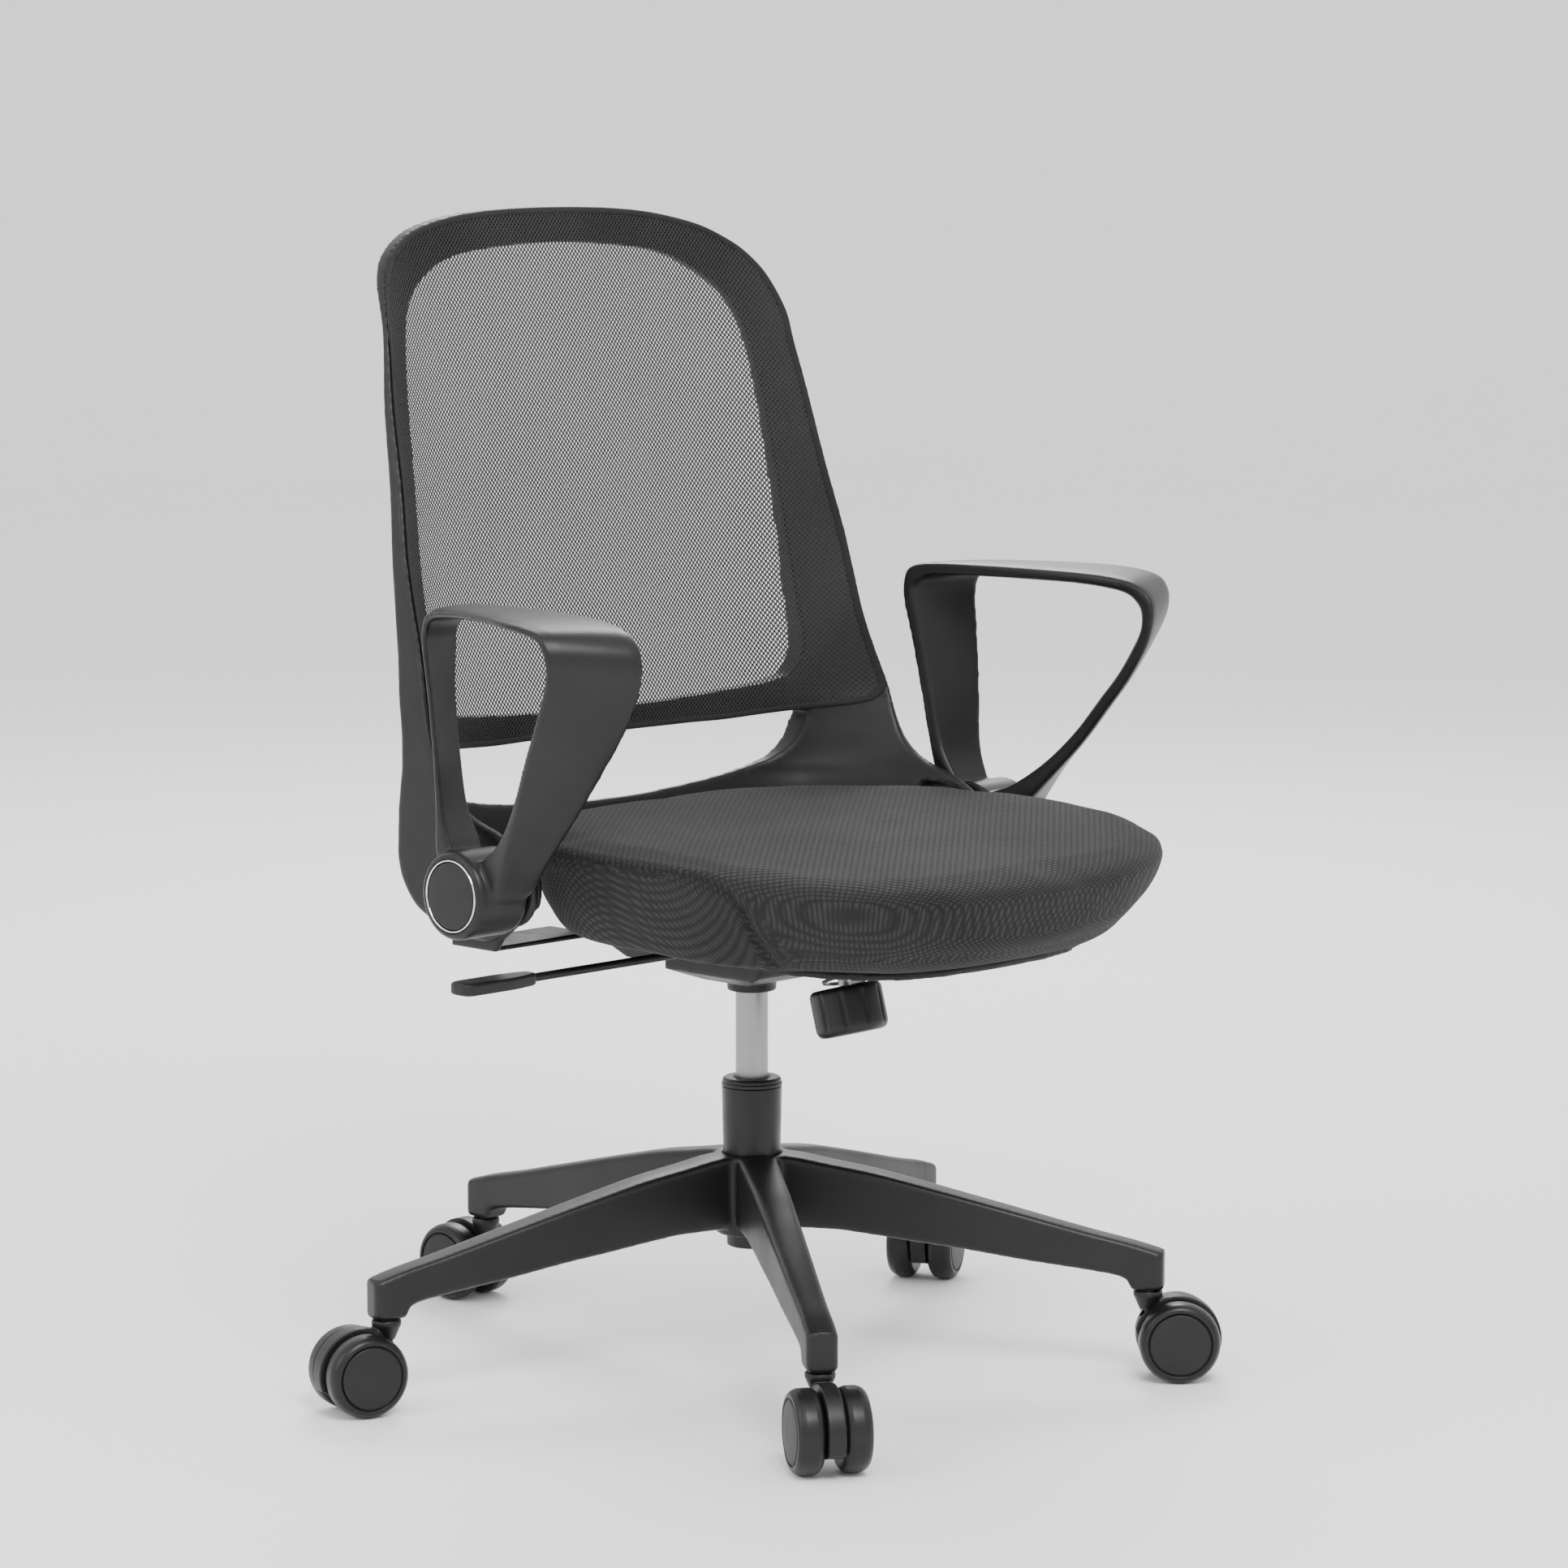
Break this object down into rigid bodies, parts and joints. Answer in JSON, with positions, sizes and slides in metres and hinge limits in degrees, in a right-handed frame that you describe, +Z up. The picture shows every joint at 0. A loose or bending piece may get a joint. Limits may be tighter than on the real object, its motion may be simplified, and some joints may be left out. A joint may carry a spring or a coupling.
{
  "type": "swivel office chair",
  "caption": "Swivel task chair: padded seat, concave see-through mesh back, flip-up loop arms, gas-lift column and star base on twin-wheel casters.",
  "frame": {"origin": "on the floor under the middle of the chair's bounding box; the column's axis is 25.5 mm in front of it, at y = -0.0255", "axes": "+Z up; the sitter faces -Y and the sitter's right hand is towards -X"},
  "size_m": [0.6961, 0.6717, 0.8842],
  "materials": {
    "nylon_black": "fine matt grain",
    "shell_black": "fine matt grain",
    "wheel_black": "smooth satin",
    "tube_black": "satin paint",
    "steel_black": "powder coat",
    "steel_satin": "satin",
    "chrome": "polished",
    "seat_fabric": "woven, fine lozenge knit",
    "mesh_fabric": "open diamond mesh",
    "pan_board": "moulded plywood",
    "bush_plastic": "smooth"
  },
  "bodies": {
    "base": {"five_star_base": "nylon_black", "column_tube": "tube_black", "column_bush": "bush_plastic"},
    "column_rod": {"piston_rod": "steel_satin", "thrust_bearing": "steel_satin", "rod_clip": "steel_satin"},
    "column_upper": {"gas_cylinder": "steel_satin", "mechanism_housing": "steel_black", "tension_spring": "steel_satin"},
    "valve": {"valve_button": "steel_satin"},
    "lever_hub": {"lever_pivot": "steel_satin"},
    "lever": {"lever_rod": "steel_black", "lever_paddle": "nylon_black"},
    "seat": {"seat_plate": "steel_black", "tilt_shaft": "steel_satin", "tension_bolt": "steel_satin", "seat_pan": "pan_board", "seat_cushion": "seat_fabric", "seat_bracket_right": "steel_black", "seat_bracket_left": "steel_black", "back_frame": "shell_black", "back_mesh": "mesh_fabric", "pivot_bolt_right": "steel_satin", "pivot_bolt_left": "steel_satin"},
    "knob": {"tension_knob": "nylon_black"},
    "arm_right": {"arm_right": "nylon_black", "arm_ring_right": "chrome", "arm_cap_right": "shell_black"},
    "arm_left": {"arm_left": "nylon_black", "arm_ring_left": "chrome", "arm_cap_left": "shell_black"},
    "caster_front_right": {"caster_stem_front_right": "steel_satin", "caster_housing_front_right": "nylon_black", "caster_axle_front_right": "steel_satin"},
    "wheel_a_front_right": {"wheel_a_front_right": "wheel_black"},
    "wheel_b_front_right": {"wheel_b_front_right": "wheel_black"},
    "caster_front_left": {"caster_stem_front_left": "steel_satin", "caster_housing_front_left": "nylon_black", "caster_axle_front_left": "steel_satin"},
    "wheel_a_front_left": {"wheel_a_front_left": "wheel_black"},
    "wheel_b_front_left": {"wheel_b_front_left": "wheel_black"},
    "caster_side_left": {"caster_stem_side_left": "steel_satin", "caster_housing_side_left": "nylon_black", "caster_axle_side_left": "steel_satin"},
    "wheel_a_side_left": {"wheel_a_side_left": "wheel_black"},
    "wheel_b_side_left": {"wheel_b_side_left": "wheel_black"},
    "caster_rear": {"caster_stem_rear": "steel_satin", "caster_housing_rear": "nylon_black", "caster_axle_rear": "steel_satin"},
    "wheel_a_rear": {"wheel_a_rear": "wheel_black"},
    "wheel_b_rear": {"wheel_b_rear": "wheel_black"},
    "caster_side_right": {"caster_stem_side_right": "steel_satin", "caster_housing_side_right": "nylon_black", "caster_axle_side_right": "steel_satin"},
    "wheel_a_side_right": {"wheel_a_side_right": "wheel_black"},
    "wheel_b_side_right": {"wheel_b_side_right": "wheel_black"}
  },
  "joints": [
    {"name": "column_swivel", "type": "hinge", "parent": "base", "child": "column_rod", "pos_m": [0, -0.0255, 0.11], "axis": [0, 0, 1], "continuous": true},
    {"name": "column_lift", "type": "slide", "parent": "column_rod", "child": "column_upper", "axis": [0, 0, 1], "range_m": [-0.055, 0.02]},
    {"name": "height_lever", "type": "hinge", "parent": "column_upper", "child": "lever_hub", "pos_m": [-0.036, -0.0255, 0.3283], "axis": [0, 1, 0], "range_deg": [0, 5], "stiffness_Nm_per_rad": 6, "springref_deg": -14.32},
    {"name": "valve_press", "type": "slide", "parent": "column_upper", "child": "valve", "axis": [0, 0, -1], "range_m": [0, 0.0033], "stiffness_N_per_m": 800, "springref_m": -0.004},
    {"name": "tilt_lock_pull", "type": "slide", "parent": "lever_hub", "child": "lever", "axis": [-1, 0, 0], "range_m": [0, 0.01]},
    {"name": "seat_tilt", "type": "hinge", "parent": "column_upper", "child": "seat", "pos_m": [0, 0.0025, 0.3298], "axis": [-1, 0, 0], "range_deg": [0, 10], "stiffness_Nm_per_rad": 120, "springref_deg": -17.19, "deforming": ["tension_spring"]},
    {"name": "tension_turn", "type": "hinge", "parent": "seat", "child": "knob", "pos_m": [0, -0.1335, 0.2713], "axis": [0, 0.2756, 0.9613], "range_deg": [-360, 360]},
    {"name": "arm_flip_right", "type": "hinge", "parent": "seat", "child": "arm_right", "pos_m": [-0.3, -0.0175, 0.3953], "axis": [-1, 0, 0], "range_deg": [0, 90]},
    {"name": "arm_flip_left", "type": "hinge", "parent": "seat", "child": "arm_left", "pos_m": [0.3, -0.0175, 0.3953], "axis": [-1, 0, 0], "range_deg": [0, 90]},
    {"name": "caster_swivel_front_right", "type": "hinge", "parent": "base", "child": "caster_front_right", "pos_m": [-0.17927, -0.27225, 0.07], "axis": [0, 0, 1], "continuous": true},
    {"name": "wheel_spin_a_front_right", "type": "hinge", "parent": "caster_front_right", "child": "wheel_a_front_right", "pos_m": [-0.19163, -0.29165, 0.031], "axis": [0.8434, -0.5373, 0], "continuous": true},
    {"name": "wheel_spin_b_front_right", "type": "hinge", "parent": "caster_front_right", "child": "wheel_b_front_right", "pos_m": [-0.19163, -0.29165, 0.031], "axis": [0.8434, -0.5373, 0], "continuous": true},
    {"name": "caster_swivel_front_left", "type": "hinge", "parent": "base", "child": "caster_front_left", "pos_m": [0.17927, -0.27225, 0.07], "axis": [0, 0, 1], "continuous": true},
    {"name": "wheel_spin_a_front_left", "type": "hinge", "parent": "caster_front_left", "child": "wheel_a_front_left", "pos_m": [0.19554, -0.28851, 0.031], "axis": [0.7071, 0.7071, 0], "continuous": true},
    {"name": "wheel_spin_b_front_left", "type": "hinge", "parent": "caster_front_left", "child": "wheel_b_front_left", "pos_m": [0.19554, -0.28851, 0.031], "axis": [0.7071, 0.7071, 0], "continuous": true},
    {"name": "caster_swivel_side_left", "type": "hinge", "parent": "base", "child": "caster_side_left", "pos_m": [0.29007, 0.06875, 0.07], "axis": [0, 0, 1], "continuous": true},
    {"name": "wheel_spin_a_side_left", "type": "hinge", "parent": "caster_side_left", "child": "wheel_a_side_left", "pos_m": [0.31019, 0.0799, 0.031], "axis": [-0.4848, 0.8746, 0], "continuous": true},
    {"name": "wheel_spin_b_side_left", "type": "hinge", "parent": "caster_side_left", "child": "wheel_b_side_left", "pos_m": [0.31019, 0.0799, 0.031], "axis": [-0.4848, 0.8746, 0], "continuous": true},
    {"name": "caster_swivel_rear", "type": "hinge", "parent": "base", "child": "caster_rear", "pos_m": [0, 0.2795, 0.07], "axis": [0, 0, 1], "continuous": true},
    {"name": "wheel_spin_a_rear", "type": "hinge", "parent": "caster_rear", "child": "wheel_a_rear", "pos_m": [-0.0004, 0.3025, 0.031], "axis": [-0.9998, -0.0175, 0], "continuous": true},
    {"name": "wheel_spin_b_rear", "type": "hinge", "parent": "caster_rear", "child": "wheel_b_rear", "pos_m": [-0.0004, 0.3025, 0.031], "axis": [-0.9998, -0.0175, 0], "continuous": true},
    {"name": "caster_swivel_side_right", "type": "hinge", "parent": "base", "child": "caster_side_right", "pos_m": [-0.29007, 0.06875, 0.07], "axis": [0, 0, 1], "continuous": true},
    {"name": "wheel_spin_a_side_right", "type": "hinge", "parent": "caster_side_right", "child": "wheel_a_side_right", "pos_m": [-0.31195, 0.07586, 0.031], "axis": [-0.309, -0.9511, 0], "continuous": true},
    {"name": "wheel_spin_b_side_right", "type": "hinge", "parent": "caster_side_right", "child": "wheel_b_side_right", "pos_m": [-0.31195, 0.07586, 0.031], "axis": [-0.309, -0.9511, 0], "continuous": true}
  ],
  "couplings": [
    {"joint": "valve_press", "follows": "height_lever", "m_per_rad": 0.036}
  ]
}
